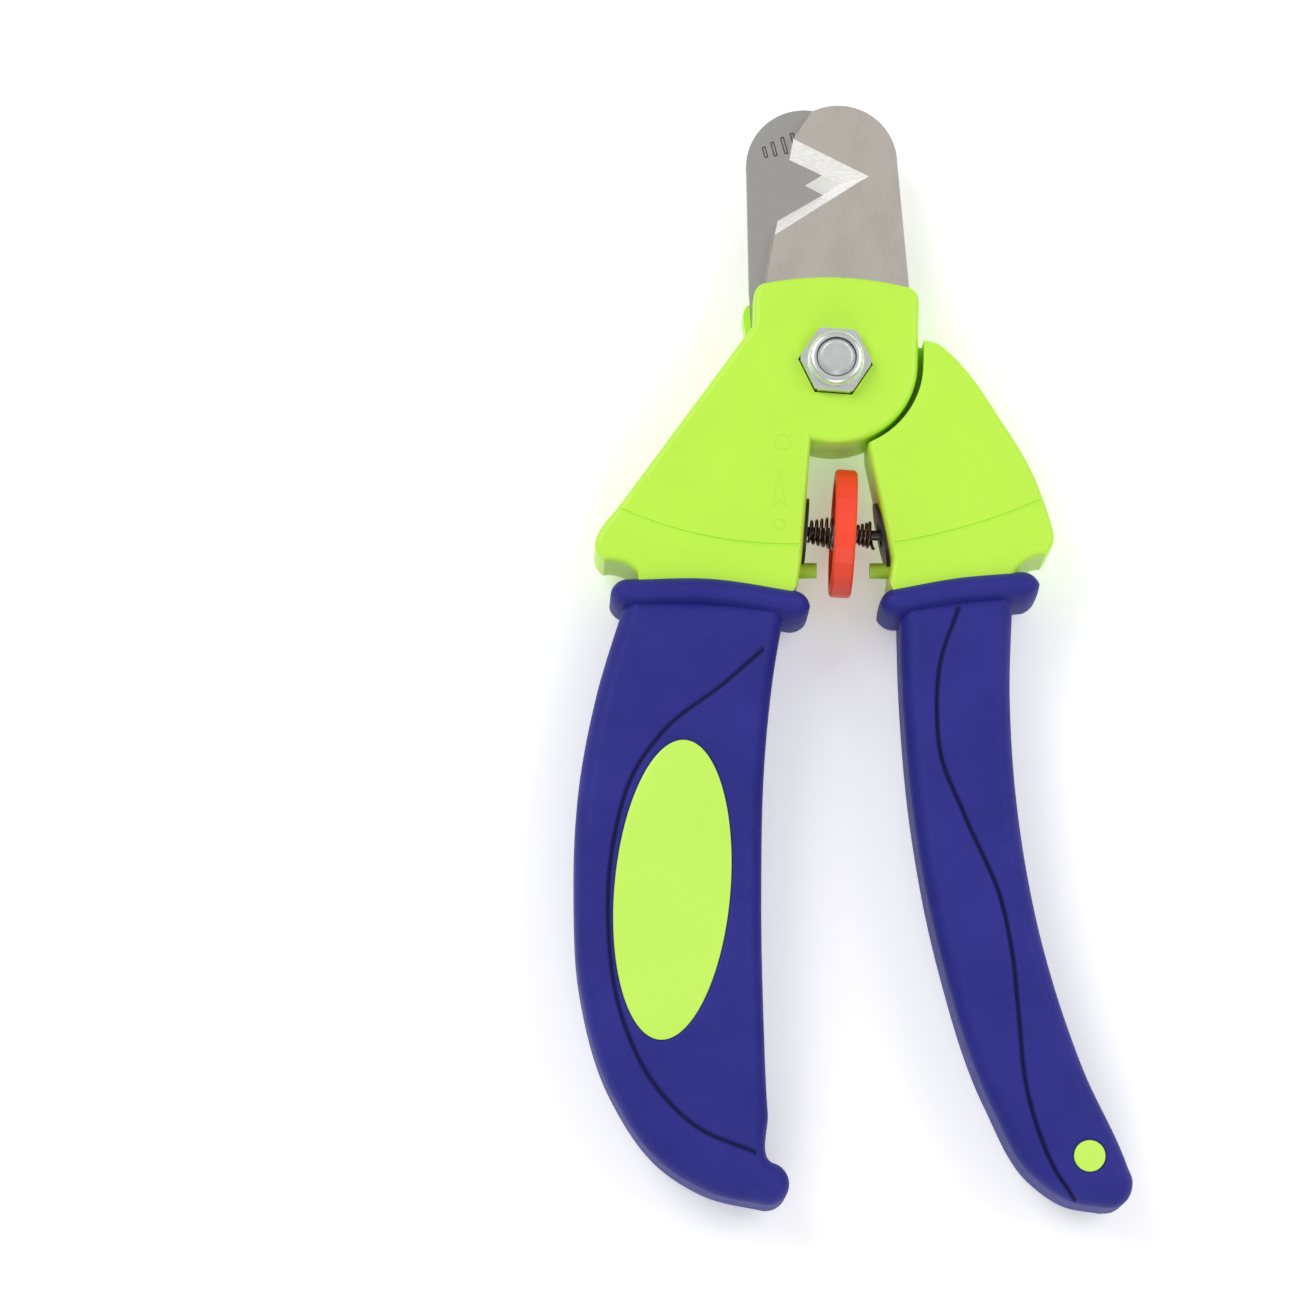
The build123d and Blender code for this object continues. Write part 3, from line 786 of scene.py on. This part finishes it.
@dataclass
class Coil:
    """A conical coil spring of round wire on the wheel's axis."""

    name: str
    node: str
    inner_radius: float
    outer_radius: float
    turns: float
    closed_share: float
    wire: float = 0.25
    last_turn_tilt: float = 0.0
    steps_in_turn: int = 36
    section_steps: int = 14

    def centreline(self, start: float, end: float, middle: Array, axis: Array) -> Array:
        """A helix whose radius grows evenly along it, and whose last turn may tilt to meet its seat.

        Args:
            start: Distance of its first end from the wheel's middle, along the axis.
            end: Distance of its last end.
            middle: The wheel's middle.
            axis: Direction of the wheel's axis.

        Returns:
            Points along the wire.
        """
        t = np.linspace(0.0, 1.0, int(self.turns * self.steps_in_turn))
        angle = 2 * np.pi * self.turns * t
        radius = self.inner_radius + (self.outer_radius - self.inner_radius) * t
        last = np.clip(t * self.turns - (self.turns - 1.0), 0.0, 1.0)
        across = np.array([axis[1], -axis[0], 0.0])
        up = np.array([0.0, 0.0, 1.0])
        along = start + (end - start) * t + self.last_turn_tilt * last * np.cos(angle)
        return (middle + along[:, None] * axis
                + radius[:, None] * (np.cos(angle)[:, None] * across + np.sin(angle)[:, None] * up))

    def build(self) -> None:
        """A round section carried along the wire."""
        axis = np.array(joint("wheel_turn")["axis"])
        middle = PLACE.millimetres(joint("wheel_turn")["pos_m"])
        low, high = (PLACE.millimetres(corner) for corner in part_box(self.node))
        start, end = low[0] + self.wire - middle[0], high[0] - self.wire - middle[0]
        path = self.centreline(start, end, middle, axis)
        way = np.gradient(path, axis=0)
        way /= np.linalg.norm(way, axis=1)[:, None]
        side = np.cross(way, axis)
        side /= np.linalg.norm(side, axis=1)[:, None]
        lift = np.cross(side, way)
        angle = np.linspace(0.0, 2 * np.pi, self.section_steps, endpoint=False)[None, :, None]
        tube = path[:, None] + self.wire * (np.cos(angle) * side[:, None] + np.sin(angle) * lift[:, None])
        ends_closed = [np.repeat(path[i][None, None], self.section_steps, 1) for i in (0, -1)]
        grid = np.concatenate([ends_closed[0], tube, ends_closed[1]])
        made = Surface(self.name).add(grid, closed=True).piece(WIRE, Slot.SPRING, Body.ADJUSTER)
        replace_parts(made, self.node)
        wheel_end = middle + min(start, end, key=abs) * axis
        anchor = tuple(PLACE.metres(wheel_end))
        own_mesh(made)


# Marks


@dataclass
class Marks:
    """Small generic marks: raised ones on the left head, and scale bars on the rear blade."""

    face: float = 7.0
    raised: float = 0.10
    line: float = 0.16
    ring_steps: int = 48
    bead_steps: int = 60
    section_steps: int = 12
    strip_thickness: float = 0.01
    scale_face: float = -0.018
    scale_line: float = 0.10
    scale_half_width: float = 0.23
    scale_lean: float = 0.26
    scale: tuple[tuple[Point, float], ...] = (
        ((-10.55, 34.95), 1.7), ((-9.05, 35.2), 2.3), ((-7.35, 35.6), 2.7), ((-5.75, 36.1), 2.9),
    )

    def ring(self, centre: Point, radius: float) -> Array:
        """A bead carried round a circle, sunk to half its height in the face."""
        turn = np.linspace(0.0, 2 * np.pi, self.ring_steps, endpoint=False)[:, None]
        round_bead = np.linspace(0.0, 2 * np.pi, self.section_steps, endpoint=False)[None, :]
        reach = radius + self.line * np.cos(round_bead)
        x, y = centre[0] + reach * np.cos(turn), centre[1] + reach * np.sin(turn)
        z = self.face + self.raised * np.sin(round_bead) + 0 * turn
        grid = np.stack([x, y, z], axis=2)
        return np.concatenate([grid, grid[:1]])

    def bead(self, path: Sequence[Point]) -> Array:
        """A bead carried along straight runs, and brought to a point at its ends."""
        points = evenly(np.array(path, float), self.bead_steps)
        way = np.gradient(points, axis=0)
        way /= np.linalg.norm(way, axis=1)[:, None]
        normal = np.stack([-way[:, 1], way[:, 0]], axis=1)
        angle = np.linspace(0.0, 2 * np.pi, self.section_steps, endpoint=False)
        full = np.ones(self.bead_steps)
        full[[0, -1]] = 0.0
        flat = points[:, None] + normal[:, None] * (full[:, None] * self.line * np.cos(angle))[..., None]
        high = self.face + full[:, None] * self.raised * np.sin(angle)
        return np.concatenate([flat, high[..., None]], axis=2)

    def bar(self, low: Point, high: Point, half: float, top: float) -> Array:
        """A thin flat strip from one end to the other, as closed loops."""
        start, end = np.array(low), np.array(high)
        way = (end - start) / np.linalg.norm(end - start)
        side = np.array([-way[1], way[0]]) * half
        corners = np.array([start + side, start - side, end - side, end + side])
        under = np.concatenate([corners, np.full((4, 1), top - self.strip_thickness)], axis=1)
        upper = np.concatenate([corners, np.full((4, 1), top)], axis=1)
        ends = [np.repeat(level.mean(0)[None], 4, 0) for level in (under, upper)]
        return np.stack([ends[0], under, upper, ends[1]])

    def build(self) -> None:
        """Makes the raised marks on the left head and the scale bars on the rear blade."""
        head = Surface("head_marks")
        head.add(self.ring((-8.5, -13.0), 1.25), closed=True)
        head.add(self.ring((-9.05, -26.2), 0.85), closed=True)
        head.add(self.bead(((-9.05, -17.3), (-10.05, -23.3), (-9.05, -22.3), (-8.05, -23.3), (-9.05, -17.3))),
                 closed=True)
        head.piece(GREEN, Slot.GREEN, Body.LEFT)
        scale = Surface("scale_marks")
        along = np.array([-np.sin(self.scale_lean), np.cos(self.scale_lean)])
        side = self.scale_half_width * np.array([np.cos(self.scale_lean), np.sin(self.scale_lean)])
        for foot, length in self.scale:
            rise = along * length
            corners = [np.array(foot) + shift for shift in (-side, side, side + rise, rise - side)]
            for first, second in zip(corners, corners[1:] + corners[:1]):
                strip = self.bar(tuple(first), tuple(second), self.scale_line, self.scale_face)
                scale.add(strip, closed=True)
        scale.piece(ETCHED, Slot.STUD, Body.RIGHT)


# The clipper


@dataclass
class Handles:
    """Both grips, with their collars and inlays."""

    left_toe: Point = (-11.3, -133.5)
    left_hook: Point = (-7.75, -129.6)
    left_notch: Point = (-10.3, -126.8)

    def left(self) -> Grip:
        """The broad left grip, with a hook at its toe and the oval inlay."""
        return Grip(
            name="left_grip_soft",
            node="left_grip",
            body=Body.LEFT,
            back=((-33.0, -37.5), (-37.9, -54.0), (-40.6, -69.0), (-41.2, -84.0), (-40.2, -100.0),
                  (-35.4, -116.0), (-27.3, -127.2), (-20.3, -131.4), self.left_toe),
            palm=((-7.9, -38.5), (-9.9, -50.0), (-11.2, -62.0), (-11.9, -84.0), (-11.6, -105.0),
                  (-11.0, -119.0), *hook_arc(self.left_notch, self.left_hook, self.left_toe, 12)),
            groove=((-11.7, -46.4), (-18.0, -52.0), (-26.6, -58.7), (-31.8, -65.8), (-35.0, -76.3),
                    (-35.9, -89.6), (-33.7, -104.6), (-28.9, -114.7), (-22.0, -121.6), (-13.1, -125.4)),
            collar=Collar(((-32.8, -37.3), (-20.0, -37.1), (-6.9, -39.0))),
            inlay=Inlay("oval_inlay", "oval_badge", (-25.9, -84.4), 9.1, 23.7, 4.9),
        )

    def right(self) -> Grip:
        """The slim right grip, with the dot near its toe."""
        return Grip(
            name="right_grip_soft",
            node="right_grip",
            body=Body.RIGHT,
            back=((27.9, -36.5), (27.3, -54.0), (28.4, -72.0), (32.0, -92.5), (38.2, -112.2), (44.8, -127.0),
                  (45.7, -129.8), (44.8, -132.5), (43.2, -133.6), (41.3, -133.8)),
            palm=((10.0, -38.5), (10.3, -52.0), (12.3, -75.0), (16.4, -96.0), (23.3, -117.0), (30.4, -129.2),
                  (35.6, -132.7), (41.3, -133.8)),
            groove=((19.2, -39.5), (16.1, -48.9), (15.6, -56.0), (16.1, -62.7), (19.9, -72.8),
                    (25.4, -85.9), (27.2, -95.2), (27.9, -102.8), (29.4, -116.7), (31.1, -122.6),
                    (33.5, -128.2), (36.5, -132.5)),
            collar=Collar(((9.7, -38.6), (19.4, -36.8), (29.3, -35.9))),
            inlay=Inlay("dot_inlay", "grip_dot", (38.8, -125.9), 2.5, 2.5, 0.0, body=Body.RIGHT),
        )

    def build(self) -> None:
        """Makes both grips."""
        self.left().build()
        self.right().build()


@dataclass
class Hardware:
    """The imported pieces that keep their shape, each with its finish."""

    finishes: dict[str, Union[Moulded, Plated, GroundSteel]] = field(default_factory=lambda: {
        "left_core": GREEN, "right_core": GREEN,
        "front_blade": STEEL, "rear_blade": SHADED_REAR_STEEL,
        "pivot_bolt": ZINC, "pivot_washer": ZINC, "lock_nut": ZINC, "nut_insert": NYLON,
        "adjuster_wheel": ORANGE, "wheel_bush": BUSH,
        "left_stud": STUD, "right_stud": STUD,
        "left_seat": BLACK, "right_seat": BLACK,
    })

    def build(self) -> None:
        """Dresses every piece."""
        for node, finish in self.finishes.items():
            dress(node, finish)


@dataclass
class Studio:
    """Floor, lights and camera."""

    eye: tuple[float, float, float] = (-53.0, -222.8, 1030.0)
    target: tuple[float, float, float] = (-30.0, -45.8, 7.0)
    lens: float = 184.3
    floor_half: float = 1.5
    floor_glow: float = 0.26
    backdrop: float = 0.50
    lights: tuple[tuple[str, tuple[float, float, float], float, float], ...] = (
        ("key", (-0.55, 0.45, 0.85), 0.7, 4.6),
        ("fill", (0.65, 0.15, 0.75), 0.7, 2.4),
        ("front", (0.05, -0.80, 0.60), 0.6, 1.6),
    )

    def aim(self, made: bpy.types.Object, place: Vector, target: Vector) -> None:
        """Puts a light or camera somewhere, looking at a target, with +Y upwards in its view."""
        back = (place - target).normalized()
        side = Vector((0.0, 1.0, 0.0)).cross(back).normalized()
        turned = Matrix((side, back.cross(side), back)).transposed()
        made.matrix_world = Matrix.Translation(place) @ turned.to_4x4()

    def build(self) -> None:
        """Makes the floor, the soft lights and the camera."""
        scene = bpy.context.scene
        scene.view_settings.view_transform = "Standard"
        centre = Vector(PLACE.metres(np.array(self.target)))
        mesh = bpy.data.meshes.new("floor")
        half = self.floor_half
        corners = [(-half, -half, 0), (half, -half, 0), (half, half, 0), (-half, half, 0)]
        mesh.from_pydata(corners, [], [(0, 1, 2, 3)])
        floor = bpy.data.objects.new("floor", mesh)
        scene.collection.objects.link(floor)
        shader = Shader("pale_floor")
        floor.data.materials.append(shader.finish({
            "Base Color": (0.98, 0.98, 0.98), "Roughness": 0.9,
            "Emission Color": (1.0, 1.0, 1.0), "Emission Strength": self.floor_glow,
        }))
        world = bpy.data.worlds.new("studio")
        world.use_nodes = True
        world.node_tree.nodes["Background"].inputs["Color"].default_value = (1.0, 1.0, 1.0, 1.0)
        world.node_tree.nodes["Background"].inputs["Strength"].default_value = self.backdrop
        scene.world = world
        for name, place, size, power in self.lights:
            light = bpy.data.lights.new(name, "AREA")
            light.shape = "DISK"
            light.size = size
            light.energy = power
            lamp = bpy.data.objects.new(name, light)
            scene.collection.objects.link(lamp)
            self.aim(lamp, centre + Vector(place), centre)
        camera = bpy.data.cameras.new("camera")
        camera.lens = self.lens
        camera.clip_start = 0.01
        eye = bpy.data.objects.new("camera", camera)
        scene.collection.objects.link(eye)
        self.aim(eye, Vector(PLACE.metres(np.array(self.eye))), centre)
        scene.camera = eye


def main() -> None:
    """Builds every part of the clipper, then the studio."""
    logging.basicConfig(level=logging.INFO, format="%(name)s: %(message)s")
    Studio().build()
    Hardware().build()
    Handles().build()
    Coil("left_coil", "left_spring", 1.6, 2.6, 5.5, closed_share=0.42).build()
    Coil("right_coil", "right_spring", 1.3, 2.1, 4.0, closed_share=0.2, last_turn_tilt=0.3).build()
    Marks().build()


if __name__ == "__main__":
    main()
